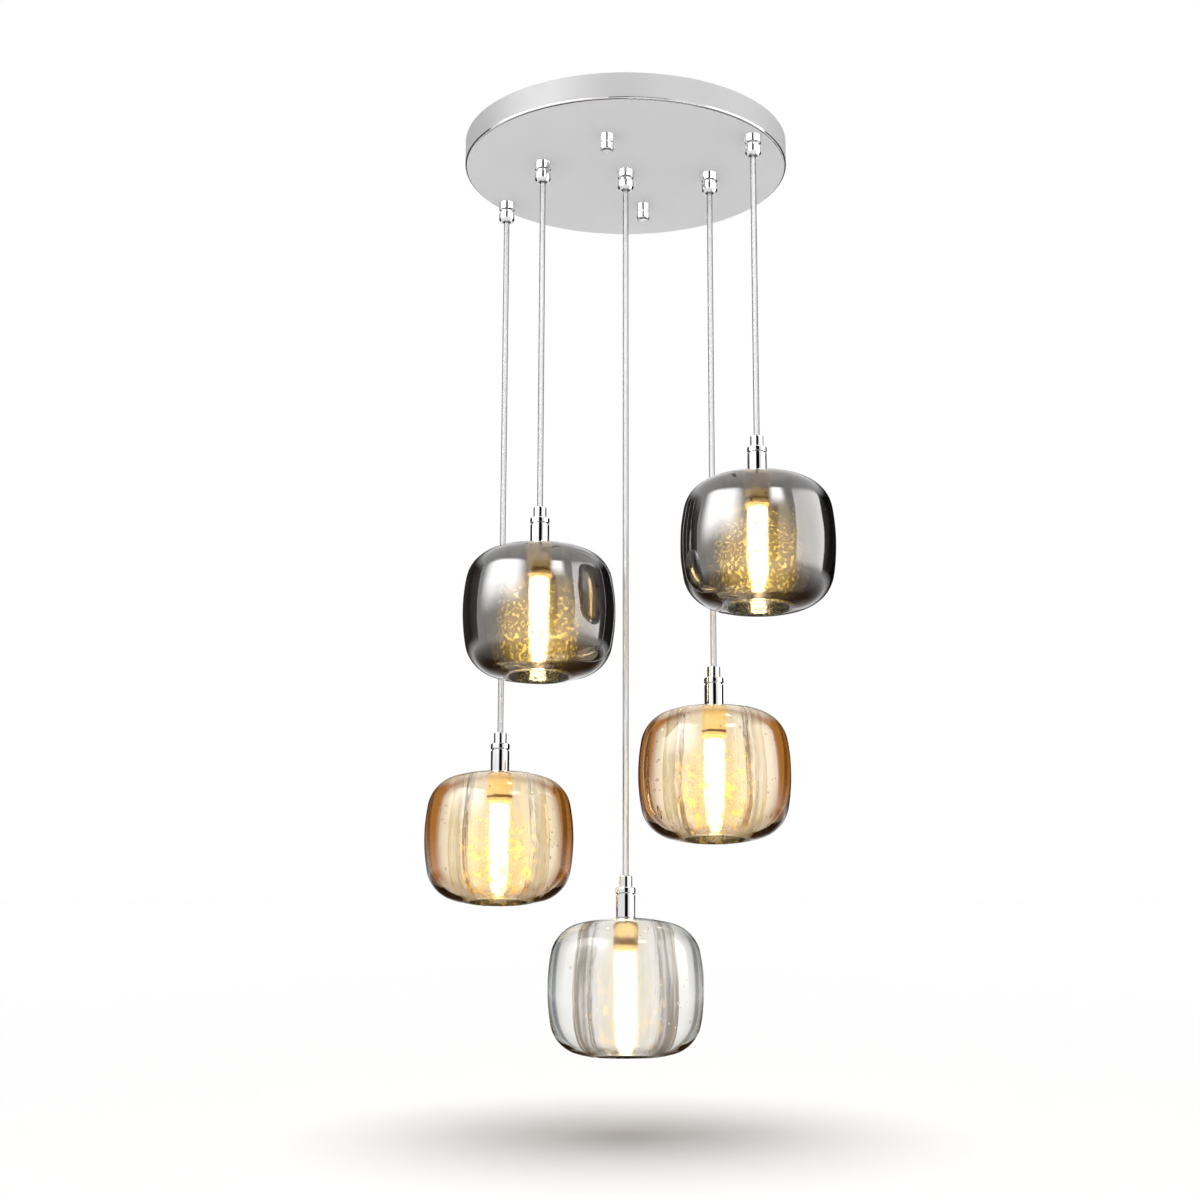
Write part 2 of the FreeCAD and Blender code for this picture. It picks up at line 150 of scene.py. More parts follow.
surfaceLooks = {
    # Chrome plate over fine-brushed steel: a soft even grey that blurs what it mirrors. The brushing is
    # about 0.1 mm wide and is drawn at 1.1 mm, because it would be lost otherwise
    "satinChromePlate": {
        "low": "#D8D8D9", "high": "#DEDEDF", "patch": 70, "rough": (0.45, 0.52),
        "set": {"Metallic": 0.06, "Specular IOR Level": 0.12},
        "grain": 1.1, "stretch": (1, 0.06, 1), "depth": 0.01, "relief": 0.1,
    },
    # Bright nickel-chrome plate on turned brass: mirror-like, with faint wiping marks
    "polishedChromePlate": {
        "low": "#D6D7D9", "high": "#E9EAEC", "patch": 17, "rough": (0.02, 0.06), "set": {"Metallic": 1},
    },
    # Zinc-plated mild steel: dull silver with a cloudy, slightly yellow passivation
    "zincPlatedSteel": {
        "low": "#A9ABAD", "high": "#C6C5BC", "patch": 8, "rough": (0.3, 0.5), "set": {"Metallic": 1},
        "grain": 1.4, "depth": 0.04,
    },
    # Machined brass of an earth screw, a little tarnished
    "machinedBrass": {
        "low": "#C79A4B", "high": "#E0BC6E", "patch": 2.5, "rough": (0.18, 0.35), "set": {"Metallic": 1},
    },
    # Moulded polyamide terminal block: milky white with a fine moulded skin
    "mouldedPolyamide": {
        "low": "#E2E0D8", "high": "#EDEBE5", "patch": 11, "rough": (0.4, 0.55),
        "set": {"Subsurface Weight": 0.1}, "grain": 0.6, "depth": 0.03,
    },
    # Turned nylon of the grip balls: waxy natural white
    "turnedNylon": {
        "low": "#E6E4DA", "high": "#F0EFE8", "patch": 3.3, "rough": (0.28, 0.4),
        "set": {"Subsurface Weight": 0.2},
    },
    # Silicone-rubber sleeve of the fixture wires: soft grey-white with a faint extrusion wave
    "wireInsulation": {
        "low": "#CFCFCD", "high": "#DEDEDB", "patch": 5, "rough": (0.35, 0.5), "grain": 1.4, "depth": 0.04,
    },
    # Translucent silicone of the washer under the holder
    "siliconeRubber": {
        "low": "#CFCFCF", "high": "#E2E2E1", "patch": 2, "rough": (0.45, 0.6),
        "set": {"Subsurface Weight": 0.3, "Subsurface Scale": 0.002},
    },
    # Steatite ceramic with a clear glaze, painted honey gold and given a faint glow: painted light of the
    # lamp under it
    "glazedSteatitePaintedGlow": {
        "low": "#F0CF80", "high": "#FBE9B8", "patch": 6, "rough": (0.3, 0.45), "grain": 0.7, "depth": 0.04,
        "set": {"Coat Weight": 0.6, "Coat Roughness": 0.08, "Emission Color": toLinear("#F4CB6C"),
                "Emission Strength": 0.5},
    },
    # The same glaze in the holder's grooves, painted dark brown as shade in the recesses, with a faint
    # painted glow
    "grooveShadeGlaze": {
        "low": "#6E4312", "high": "#94621F", "patch": 3, "rough": (0.4, 0.5),
        "set": {"Emission Color": toLinear("#8A5714"), "Emission Strength": 0.25},
    },
    # The lamp's own ceramic foot
    "lampFootCeramic": {"low": "#E9DFC9", "high": "#F4EDDD", "patch": 3, "rough": (0.4, 0.6)},
    # Nickel wire of the lamp's pins
    "nickelWire": {
        "low": "#B9B4A8", "high": "#CFCABF", "patch": 1.1, "rough": (0.2, 0.35), "set": {"Metallic": 1},
    },
    # Opal capsule of a warm-white lamp, lit: white in its middle, and softly warm towards its edges
    "opalLampGlass": {
        "low": "#FFFAF0", "high": "#FFF6E8", "patch": 8, "rough": (0.2, 0.3),
        "set": {"Emission Color": toLinear("#FFE3B4")}, "glow": (7.0, 0.75),
    },
    # The same capsule at full power, which smoke glass needs to look as bright
    "opalLampGlassBright": {
        "low": "#FFFAF0", "high": "#FFF6E8", "patch": 8, "rough": (0.2, 0.3),
        "set": {"Emission Color": toLinear("#FFDFA8")}, "glow": (25.0, 2.5),
    },
    # Tinned copper braid, bright through the jacket
    "tinnedCopperBraid": {
        "low": "#FAFAFB", "high": "#FFFFFF", "patch": 45, "rough": (0.3, 0.36), "set": {"Metallic": 1},
    },
}
# "slant": where the tint turns from face to edge, whose edge colour is partly painted shade; "under": the
# tint's share underneath, painted shade above 1 and painted light below it; "skin": the cavity's roughness;
# "streak": the height of its streaks in mm; "haze" and "fleck": the shares of the skin that the lamp lights
# between the flecks and in them; "dull": the share of a band at either side of the cavity, a painted
# reflection
glassLooks = {
    # Smoke: a dark vapour tint with a mirror-like outside
    "smoke": {
        "face": "#8F8B89", "edge": "#1E1A1A", "slant": (0.28, 0.66), "depth": "#A29C99", "density": 22,
        "coat": 1.0, "coatIor": 1.8, "skin": 0.22, "streak": 0.3, "under": 1.8,
        "gold": "#FFF08C", "haze": 0.2, "fleck": 0.9,
        "fleckSize": 2, "fleckFrom": 0.52, "fleckSpread": 0.12,
        "paintedBand": 0, "band": "#8F8884", "bandEdge": "#3A3432",
    },
    # Amber: a thin warm tint, whose orange-brown edge colour at a slant is partly painted shade
    "amber": {
        "face": "#FFF8E6", "edge": "#7E3A08", "slant": (0.24, 0.5), "depth": "#F8E2A8", "density": 5,
        "coat": 0.2, "coatIor": 1.5, "skin": 0.12, "streak": 0.45, "under": 0.5,
        "gold": "#FFE08C", "haze": 0.26, "fleck": 0.85,
        "fleckSize": 5, "fleckFrom": 0.49, "fleckSpread": 0.14,
        "paintedBand": 0.65, "band": "#FFF0CC", "bandEdge": "#E9C27E",
    },
    # Clear: water white with a trace of green in the depth
    "clear": {
        "face": "#FBF8F4", "edge": "#82887F", "slant": (0.34, 0.7), "depth": "#E2EBE2", "density": 2,
        "coat": 0.0, "coatIor": 1.5, "skin": 0.22, "streak": 0.35, "under": 0.6,
        "gold": "#FFE6A0", "haze": 0.01, "fleck": 0.3,
        "fleckSize": 5, "fleckFrom": 0.5, "fleckSpread": 0.2,
        "paintedBand": 0.8, "band": "#A29382", "bandEdge": "#574A40",
    },
}
# The jacket's edge colour is painted shade, darker where the cable is seen at a slant
jacketLook = {"face": "#FFFFFF", "edge": "#3A3E44", "slant": (0.1, 0.42), "patch": 25, "rough": (0.01, 0.03)}

# Where the glass changes with its slope or its slant to the eye: start, end, and the shares there. The crown
# and underside shares are painted light and shade, and the band's are where a painted reflection lies
glassChange = {
    "crown": (0.5, 0.92, 1, 0.3),  # the tint thins out towards the top
    "underside": (-0.9, -0.4),  # from the look's "under" at the bottom to the full tint of the side
    "flecks": (0.08, 0.5, 1, 0.1),
    "bandEdge": (0.75, 0.98),
    "band": (0.27, 0.45),
    "streaks": (0.35, 0.6, 0.4, 1),
}
streakSize, streakStretch = 5, (1, 1, 0.08)  # mm across, and drawn out along the axis


def makeGlass(name, look):
    # Thick pressed glass: the vapour tint on its outside deepens where it's seen at a slant, a little as a
    # real coating does and the rest as painted shade at the rim, and it's painted lighter on top and, for
    # smoke, darker underneath (lighter for amber and clear). The body darkens with depth, the cavity's rough,
    # streaky skin catches the lamp's light in flecks, and either side of the cavity shows a painted
    # reflection: a diffuse band, darker at its edge
    material, tree, shader, output = newMaterial(name)
    setShader(shader, {"Transmission Weight": 1, "IOR": 1.5, "Coat Roughness": 0.01})
    setShader(shader, {"Coat Weight": look["coat"], "Coat IOR": look["coatIor"]})
    skin = addNode(tree, "ShaderNodeAttribute", {"attribute_name": "cavitySkin"}).outputs["Fac"]
    lit = addNode(tree, "ShaderNodeAttribute", {"attribute_name": "lampReach"}).outputs["Fac"]
    slant = addNode(tree, "ShaderNodeLayerWeight", {"in:Blend": 0.5}).outputs["Facing"]
    geometry = addNode(tree, "ShaderNodeNewGeometry").outputs
    up = addNode(tree, "ShaderNodeSeparateXYZ", {}, {"0": geometry["Normal"]}).outputs["Z"]

    # Painted light and shade: the tint thins on top, changes underneath by the look's under share, and
    # deepens at a slant
    crown = addNode(tree, "ShaderNodeMapRange", ease(*glassChange["crown"]), {"Value": up})
    settings = ease(*glassChange["underside"], look["under"], 1)
    under = addNode(tree, "ShaderNodeMapRange", settings, {"Value": up})
    side = addNode(tree, "ShaderNodeMapRange", ease(*look["slant"]), {"Value": slant})
    ends = addNode(tree, "ShaderNodeMath", product, {"0": crown.outputs[0], "1": under.outputs[0]})
    deep = addNode(tree, "ShaderNodeMath", product, {"0": side.outputs[0], "1": ends.outputs[0]})
    tint = addNode(tree, "ShaderNodeMix", colours(look["face"], look["edge"]), {"0": deep.outputs[0]})
    links = {"0": skin, "6": tint.outputs[2]}
    bare = addNode(tree, "ShaderNodeMix", colours("#FFFFFF", "#FFFFFF"), links)
    tree.links.new(bare.outputs[2], shader.inputs["Base Color"])
    rough = addNode(tree, "ShaderNodeMath", product | {"in:1": look["skin"]}, {"0": skin})
    tree.links.new(rough.outputs[0], shader.inputs["Roughness"])
    streak = wander(tree, streakSize, 2, streakStretch)
    height = addNode(tree, "ShaderNodeMath", product, {"0": streak, "1": skin}).outputs[0]
    settings = {"in:Strength": 1.0, "in:Distance": look["streak"] * mm}
    bump = addNode(tree, "ShaderNodeBump", settings, {"Height": height})
    tree.links.new(bump.outputs["Normal"], shader.inputs["Normal"])

    # The lamp really lights the flecks, but their gold colour and their fading upwards and towards the rim
    # are painted lamp light
    start = look["fleckFrom"]
    settings = ease(start, start + look["fleckSpread"], look["haze"], look["fleck"])
    patches = wander(tree, look["fleckSize"], 5)
    fleck = addNode(tree, "ShaderNodeMapRange", settings, {"Value": patches})
    facing = addNode(tree, "ShaderNodeMapRange", ease(*glassChange["flecks"]), {"Value": slant})
    share = addNode(tree, "ShaderNodeMath", product, {"0": facing.outputs[0], "1": lit})
    share = addNode(tree, "ShaderNodeMath", product, {"0": fleck.outputs[0], "1": share.outputs[0]})
    catch = addNode(tree, "ShaderNodeBsdfTranslucent", {"in:Color": toLinear(look["gold"])})
    links = {"0": share.outputs[0], "1": shader.outputs[0], "2": catch.outputs[0]}
    flecked = addNode(tree, "ShaderNodeMixShader", {}, links)

    # A painted reflection: where the surroundings would show by total reflection off the cavity, a diffuse
    # band at either side, painted darker at its edge
    edge = addNode(tree, "ShaderNodeMapRange", ease(*glassChange["bandEdge"]), {"Value": slant})
    settings = colours(look["band"], look["bandEdge"])
    colour = addNode(tree, "ShaderNodeMix", settings, {"0": edge.outputs[0]})
    paintedBand = addNode(tree, "ShaderNodeBsdfDiffuse", {}, {"Color": colour.outputs[2]})
    settings = ease(*glassChange["band"], 0, look["paintedBand"])
    band = addNode(tree, "ShaderNodeMapRange", settings, {"Value": slant})
    streaky = addNode(tree, "ShaderNodeMapRange", ease(*glassChange["streaks"]), {"Value": streak})
    share = addNode(tree, "ShaderNodeMath", product, {"0": band.outputs[0], "1": geometry["Backfacing"]})
    onSkin = addNode(tree, "ShaderNodeMath", product, {"0": streaky.outputs[0], "1": skin})
    share = addNode(tree, "ShaderNodeMath", product, {"0": share.outputs[0], "1": onSkin.outputs[0]})
    links = {"0": share.outputs[0], "1": flecked.outputs[0], "2": paintedBand.outputs[0]}
    surface = addNode(tree, "ShaderNodeMixShader", {}, links)
    tree.links.new(surface.outputs[0], output.inputs["Surface"])
    settings = {"in:Color": toLinear(look["depth"]), "in:Density": look["density"]}
    depth = addNode(tree, "ShaderNodeVolumeAbsorption", settings)
    tree.links.new(depth.outputs["Volume"], output.inputs["Volume"])
    return material


def makeJacket(name, look):
    # Clear PVC jacket of the cable: glossy and water clear, with a painted grey shade line at either edge
    material, tree, shader, output = newMaterial(name)
    setShader(shader, {"Transmission Weight": 1, "IOR": 1.46})
    slant = addNode(tree, "ShaderNodeLayerWeight", {"in:Blend": 0.5}).outputs["Facing"]
    side = addNode(tree, "ShaderNodeMapRange", ease(*look["slant"]), {"Value": slant})
    tint = addNode(tree, "ShaderNodeMix", colours(look["face"], look["edge"]), {"0": side.outputs[0]})
    tree.links.new(tint.outputs[2], shader.inputs["Base Color"])
    settings = ease(*roughShare, *look["rough"])
    rough = addNode(tree, "ShaderNodeMapRange", settings, {"Value": wander(tree, look["patch"])})
    tree.links.new(rough.outputs[0], shader.inputs["Roughness"])
    return material


finishes = {
    "satinChrome": "satinChromePlate",
    "polishedChrome": "polishedChromePlate",
    "zinc": "zincPlatedSteel",
    "brass": "machinedBrass",
    "polyamide": "mouldedPolyamide",
    "nylon": "turnedNylon",
    "insulation": "wireInsulation",
    "silicone": "siliconeRubber",
    "ceramic": "glazedSteatitePaintedGlow",
    "paintedGrooveShade": "grooveShadeGlaze",
    "lampFoot": "lampFootCeramic",
    "nickel": "nickelWire",
    "lampGlass": "opalLampGlass",
    "brightLampGlass": "opalLampGlassBright",
    "tinnedCopper": "tinnedCopperBraid",
}
finishes = {finish: makeSurface(name, surfaceLooks[name]) for finish, name in finishes.items()}
finishes["jacket"] = makeJacket("clearCableJacket", jacketLook)
for colour, look in glassLooks.items():
    finishes[colour] = makeGlass(f"{colour}Glass", look)
print("finishes made,", len(finishes))


def paint(thing, finish):
    thing.data.materials.clear()
    thing.data.materials.append(finishes[finish])


def clearSelection():
    bpy.ops.object.select_all(action="DESELECT")


def makeActive(thing):
    clearSelection()
    thing.select_set(True)
    bpy.context.view_layer.objects.active = thing


def circleThrough(a, b, c):
    # Centre and radius of the circle through three points of a profile
    ax, ay, bx, by, cx, cy = *a, *b, *c
    d = 2 * (ax * (by - cy) + bx * (cy - ay) + cx * (ay - by))
    sa, sb, sc = ax * ax + ay * ay, bx * bx + by * by, cx * cx + cy * cy
    ux = (sa * (by - cy) + sb * (cy - ay) + sc * (ay - by)) / d
    uy = (sa * (cx - bx) + sb * (ax - cx) + sc * (bx - ax)) / d
    return (ux, uy), math.hypot(ax - ux, ay - uy)


def arcPoints(centre, radius, start, end, count):
    # Points on an arc of a profile, both ends among them, angles in degrees
    turns = [math.radians(start + (end - start) * i / count) for i in range(count + 1)]
    return [(centre[0] + radius * math.cos(t), centre[1] + radius * math.sin(t)) for t in turns]


weld = {"profile": 1e-6, "turned": 2e-6}  # distances within which points are merged, in m


def turnProfile(name, profile, steps, closed=False):
    # Extrudes a vertex along the profile (radius, height in mm) and spins it round the Z axis
    bpy.ops.mesh.primitive_plane_add(size=0.001, location=(0, 0, 0))
    thing = bpy.context.active_object
    thing.name = thing.data.name = name
    bpy.ops.object.mode_set(mode="EDIT")
    bpy.ops.mesh.select_all(action="SELECT")
    bpy.ops.mesh.merge(type="CENTER")
    start = Vector((profile[0][0], 0, profile[0][1])) * mm
    bpy.ops.transform.translate(value=start)
    for before, after in zip(profile, profile[1:]):
        step = Vector((after[0] - before[0], 0, after[1] - before[1])) * mm
        bpy.ops.mesh.extrude_region_move(TRANSFORM_OT_translate={"value": step})
    bpy.ops.mesh.select_all(action="SELECT")
    if closed:
        bpy.ops.mesh.remove_doubles(threshold=weld["profile"])
    bpy.ops.mesh.spin(steps=steps, angle=math.tau, center=(0, 0, 0), axis=(0, 0, 1))
    bpy.ops.mesh.select_all(action="SELECT")
    bpy.ops.mesh.remove_doubles(threshold=weld["turned"])
    bpy.ops.mesh.normals_make_consistent(inside=False)
    bpy.ops.object.mode_set(mode="OBJECT")
    clearSelection()
    return thing


def smoothed(thing, angle):
    makeActive(thing)
    bpy.ops.object.shade_smooth_by_angle(angle=math.radians(angle))
    clearSelection()
    return thing


def copyTo(model, name, place):
    # A copy with its own mesh, its place in the mesh
    thing = model.copy()
    thing.data = model.data.copy()
    thing.name = thing.data.name = name
    bpy.context.scene.collection.objects.link(thing)
    makeActive(thing)
    thing.location = place
    bpy.ops.object.transform_apply(location=True, rotation=False, scale=False)
    clearSelection()
    return thing


def joinTo(first, things):
    # Joins the things into the first of them and leaves it selected
    makeActive(first)
    for thing in things:
        thing.select_set(True)
    bpy.ops.object.join()
    return first


def throwAway(thing):
    bpy.data.objects.remove(thing, do_unlink=True)


# In front of the light and a little below its lowest shade, looking up
view = {
    "place": (0.0003, -1.768, -0.831),
    "pitch": 13.0,
    "lens": 68.73,
    "sensor": 36,
    "shift": (-0.0217, 0.0342),
}
bpy.ops.object.camera_add(location=view["place"], rotation=(math.radians(90 + view["pitch"]), 0, 0))
camera = bpy.context.active_object
camera.data.lens = view["lens"]
camera.data.sensor_width = view["sensor"]
camera.data.shift_x, camera.data.shift_y = view["shift"]
bpy.context.scene.camera = camera
clearSelection()

# In mm; the route bends only within nearEnd of either end
cable = {"diameter": 4.6, "core": 1.9, "coreInset": 0.4, "nearEnd": 27.6}


def routeCurve(name, points, radius):
    # A NURBS spline through the route's control points, as a tube or as a bare line
    data = bpy.data.curves.new(name, "CURVE")
    data.dimensions = "3D"
    data.resolution_u = 12
    spline = data.splines.new("NURBS")
    spline.points.add(len(points) - 1)
    for point, place in zip(spline.points, points):
        point.co = (*place, 1)
    spline.order_u = 3
    spline.use_endpoint_u = True
    data.bevel_depth = radius
    data.bevel_resolution = 4
    data.use_fill_caps = True
    curve = bpy.data.objects.new(name, data)
    bpy.context.scene.collection.objects.link(curve)
    return curve


def lineOf(curve):
    # The points of the spline itself, from the curve with no bevel
    curve.data.bevel_depth = 0
    mesh = bpy.data.meshes.new_from_object(curve)
    points = [v.co.copy() for v in mesh.vertices]
    bpy.data.meshes.remove(mesh)
    return points


def meshTube(name, points, diameter, finish):
    # The tube as a mesh, and the points of its centreline
    curve = routeCurve(name, points, diameter / 2 * mm)
    mesh = bpy.data.meshes.new_from_object(curve)
    line = lineOf(curve)
    throwAway(curve)
    tube = bpy.data.objects.new(name, mesh)
    tube.data.name = name
    bpy.context.scene.collection.objects.link(tube)
    makeActive(tube)
    bpy.ops.object.mode_set(mode="EDIT")
    bpy.ops.mesh.select_all(action="SELECT")
    bpy.ops.mesh.remove_doubles(threshold=weld["profile"])
    bpy.ops.mesh.normals_make_consistent(inside=False)
    bpy.ops.object.mode_set(mode="OBJECT")
    smoothed(tube, 60)
    paint(tube, finish)
    return tube, line


def hangCable(name):
    low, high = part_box(f"{name}_cord")
    x, y = (low.x + high.x) / 2, (low.y + high.y) / 2
    near = cable["nearEnd"] * mm
    points = [Vector((x, y, z)) for z in (high.z, high.z - near, low.z + near, low.z)]
    jacket, line = meshTube(f"{name}_clear_jacket", points, cable["diameter"], "jacket")
    inner = [p.copy() for p in points]
    inner[0].z -= cable["coreInset"] * mm
    inner[-1].z += cable["coreInset"] * mm
    core = meshTube(f"{name}_braid_core", inner, cable["core"], "tinnedCopper")[0]
    for piece in (jacket, core):
        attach(piece, f"{name}_cable")
        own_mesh(piece)
    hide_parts(f"{name}_cord")


for name, place in pendants.items():
    hangCable(name)
print("cables hung")

wires = {
    "diameter": 2.6,
    "startHeight": -28.2,  # in the stem of its gland
    "overHeight": -8.5,
    "entryHeight": -15.3,
    "blockX": 45,
    "blockFace": -71.5,
    "pitch": 7.2,
    "straight": 7,
    "entryDepth": 5,
}


def runWires():
    # From each gland over to the terminal block, in the order in which the block sees the glands
    face, blockX = wires["blockFace"], wires["blockX"]
    places = {name: shadeMiddle(name) / mm for name in pendants}
    order = sorted(pendants, key=lambda n: math.atan2(places[n].y - face, blockX - places[n].x))
    for i, name in enumerate(order):
        entryX = blockX + (i - len(order) // 2) * wires["pitch"]
        start = Vector((places[name].x, places[name].y, wires["startHeight"]))
        over = Vector((places[name].x, places[name].y, wires["overHeight"]))
        ahead = Vector((entryX, face + wires["straight"], wires["entryHeight"]))
        end = Vector((entryX, face - wires["entryDepth"], wires["entryHeight"]))
        across = (ahead - over).normalized()
        rise = (over - start).length
        points = [start, over, over + across * rise, ahead - across * (ahead - end).length, ahead, end]
        points = [p * mm for p in points]
        wire, line = meshTube(f"{name}_supply_wire", points, wires["diameter"], "insulation")
        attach(wire, "ceiling_part")
        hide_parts("supply_leads")


runWires()
print("supply wires run")

shade = {
    "sideRadius": 150,
    "halfWidth": 60,
    "halfHeight": 53.7,
    "crownRadius": 150,
    "shoulderRadius": 28,
    "shoulderCentre": (30.01, 21.95),
    "sideAngle": 10.365,
    "crownAngle": 75.76,
    "seat": 53.4,
    "hole": 5.4,
    "cavityTop": 44.9,
    "cavityTopRadius": 23,
    "cavityCorner": 6,
    "cavityWidest": (27, 5),
    "mouth": 22.5,
    "lip": 2,
    "lipGap": 0.25,
    "cavityRunOut": 1,
    "ceilingStep": 1.45,
    "chamfer": 0.4,
    "steps": 128,
}
# How many straight pieces stand for each arc of the profile
arcSteps = {
    "crown": 14, "shoulder": 20, "side": 20, "under": 8, "wall": 76, "lip": 7, "corner": 7, "ceiling": 7,
}
glassFeel = {
    "smoke": {"dimple": 0.1, "dimpleSize": 3.0, "wave": 0.3, "waveSize": 34, "bubbles": 170},
    "amber": {"dimple": 0.07, "dimpleSize": 3.4, "wave": 0.2, "waveSize": 30, "bubbles": 90},
    "clear": {"dimple": 0.04, "dimpleSize": 3.6, "wave": 0.2, "waveSize": 26, "bubbles": 60},
}


def shadeProfile():
    # Outside from the seat down to the lip, then up the cavity and out through the stem's hole
    crown, shoulder, chamfer = shade["crownRadius"], shade["shoulderRadius"], shade["chamfer"]
    crownDrop = shade["halfHeight"] - crown
    seatAngle = math.degrees(math.asin((shade["seat"] - crownDrop) / crown))
    side = (shade["halfWidth"] - shade["sideRadius"], 0)
    sx, sz = shade["shoulderCentre"]
    a, c = shade["sideAngle"], shade["crownAngle"]
    outside = arcPoints((0, crownDrop), crown, seatAngle, c, arcSteps["crown"])
    outside += arcPoints((sx, sz), shoulder, c, a, arcSteps["shoulder"])[1:]
    outside += arcPoints(side, shade["sideRadius"], a, -a, arcSteps["side"])[1:]
    outside += arcPoints((sx, -sz), shoulder, -a, -c, arcSteps["shoulder"])[1:]
    lipX = shade["mouth"] + shade["lip"] + shade["lipGap"]
    lipZ = -math.sqrt(crown**2 - lipX**2) - crownDrop
    lipAngle = math.degrees(math.atan2(lipZ + crownDrop, lipX))
    outside += arcPoints((0, -crownDrop), crown, -c, lipAngle, arcSteps["under"])[1:]

    corner, topRadius = shade["cavityCorner"], shade["cavityTopRadius"]
    cornerLow, foot = shade["cavityTop"] - corner, -shade["halfHeight"] - shade["cavityRunOut"]
    centre, radius = circleThrough((topRadius, cornerLow), shade["cavityWidest"], (shade["mouth"], foot))
    lipTop = lipZ + shade["lip"]
    wallFoot = math.degrees(math.asin((lipTop - centre[1]) / radius))
    wallHead = math.degrees(math.asin((cornerLow - centre[1]) / radius))
    wall = arcPoints(centre, radius, wallFoot, wallHead, arcSteps["wall"])
    count = arcSteps["lip"]
    lip = arcPoints((lipX, lipTop), shade["lip"], -92, -180, count)
    lip = [(x + (wall[0][0] - lip[-1][0]) * i / count, z) for i, (x, z) in enumerate(lip)]
    bend = arcPoints((topRadius - corner, cornerLow), corner, 0, 90, arcSteps["corner"])
    count, ceiling = arcSteps["ceiling"], shade["cavityTop"]
    across = [(topRadius - corner - shade["ceilingStep"] * i, ceiling) for i in range(1, count + 1)]
    hole = [(shade["hole"] + chamfer, ceiling), (shade["hole"], ceiling + chamfer)]
    hole += [(shade["hole"], shade["seat"] - chamfer), (shade["hole"] + chamfer, shade["seat"])]
    return outside + lip + wall[1:] + bend[1:] + across + hole + [outside[0]]


def groupWhere(thing, name, test):
    places = [v.index for v in thing.data.vertices if test(v.co / mm)]
    thing.vertex_groups.new(name=name).add(places, 1.0, "REPLACE")


# The cavity's pressed skin, from the washer's edge to the mouth, and the outside, by radius and height
skinEdge = {"inner": 7.5, "outer": 28, "bottom": -52, "top": 45.5}
outsideFrom = 29
# A painted falloff of the lamp's light on the cavity's skin, which keeps the flecks' glow low in the cavity
lampLight = {"from": 32, "over": 50, "least": 0.06}  # grows from none at this height, over so many mm down


def inCavity(co):
    inRing = skinEdge["inner"] < math.hypot(co.x, co.y) < skinEdge["outer"]
    return inRing and skinEdge["bottom"] < co.z < skinEdge["top"]


def onOutside(co):
    return math.hypot(co.x, co.y) > outsideFrom


def markSkin(thing):
    # Stores where the cavity's pressed skin is, 1 on it and 0 elsewhere, and a painted falloff of the lamp's
    # light that fades the flecks upwards
    skin = thing.data.attributes.new("cavitySkin", "FLOAT", "POINT")
    reach = thing.data.attributes.new("lampReach", "FLOAT", "POINT")
    for vertex, onSkin, light in zip(thing.data.vertices, skin.data, reach.data):
        share = (lampLight["from"] - vertex.co.z / mm) / lampLight["over"]
        onSkin.value = 1.0 if inCavity(vertex.co / mm) else 0.0
        light.value = onSkin.value * min(1.0, max(lampLight["least"], share))


def roughen(thing, group, kind, size, depth):
    # Moves one part of the surface in and out by a soft pattern of a real size in mm
    texture = bpy.data.textures.new(f"{thing.name}_{group}", kind)
    texture.noise_scale = size * mm
    modifier = thing.modifiers.new(group, "DISPLACE")
    modifier.texture = texture
    modifier.vertex_group = group
    modifier.strength = depth * 2 * mm
    modifier.mid_level = 0.5
    makeActive(thing)
    bpy.ops.object.modifier_apply(modifier=modifier.name)
    clearSelection()
    bpy.data.textures.remove(texture)


bubbleLook = {
    "heights": (-44, 47),
    "wall": 28.8,
    "depth": 2.6,
    "overCavity": 44,
    "overReach": (9, 28),
    "least": 0.22,
    "spread": 0.25,
    "most": 0.8,
    "stretch": (1.0, 1.7),
}


def seedBubbles(count, draw):
    # Small air bubbles in the glass beside and over the cavity, turned inside out because they're hollow
    look, bubbles = bubbleLook, []
    for i in range(count):
        angle = draw.uniform(0, math.tau)
        height = draw.uniform(*look["heights"])
        if height < look["overCavity"]:
            reach = look["wall"] + abs(draw.gauss(0, look["depth"]))
        else:
            reach = draw.uniform(*look["overReach"])
        size = min(look["most"], look["least"] + abs(draw.gauss(0, look["spread"])))
        place = Vector((reach * math.cos(angle), reach * math.sin(angle), height)) * mm
        bpy.ops.mesh.primitive_ico_sphere_add(subdivisions=2, radius=size * mm, location=place)
        bubble = bpy.context.active_object
        bubble.scale.z = draw.uniform(*look["stretch"])
        bubbles.append(bubble)
    joined = joinTo(bubbles[0], bubbles)
    bpy.ops.object.transform_apply(location=True, rotation=True, scale=True)
    bpy.ops.object.mode_set(mode="EDIT")
    bpy.ops.mesh.select_all(action="SELECT")
    bpy.ops.mesh.normals_make_consistent(inside=True)
    bpy.ops.object.mode_set(mode="OBJECT")
    clearSelection()
    return joined


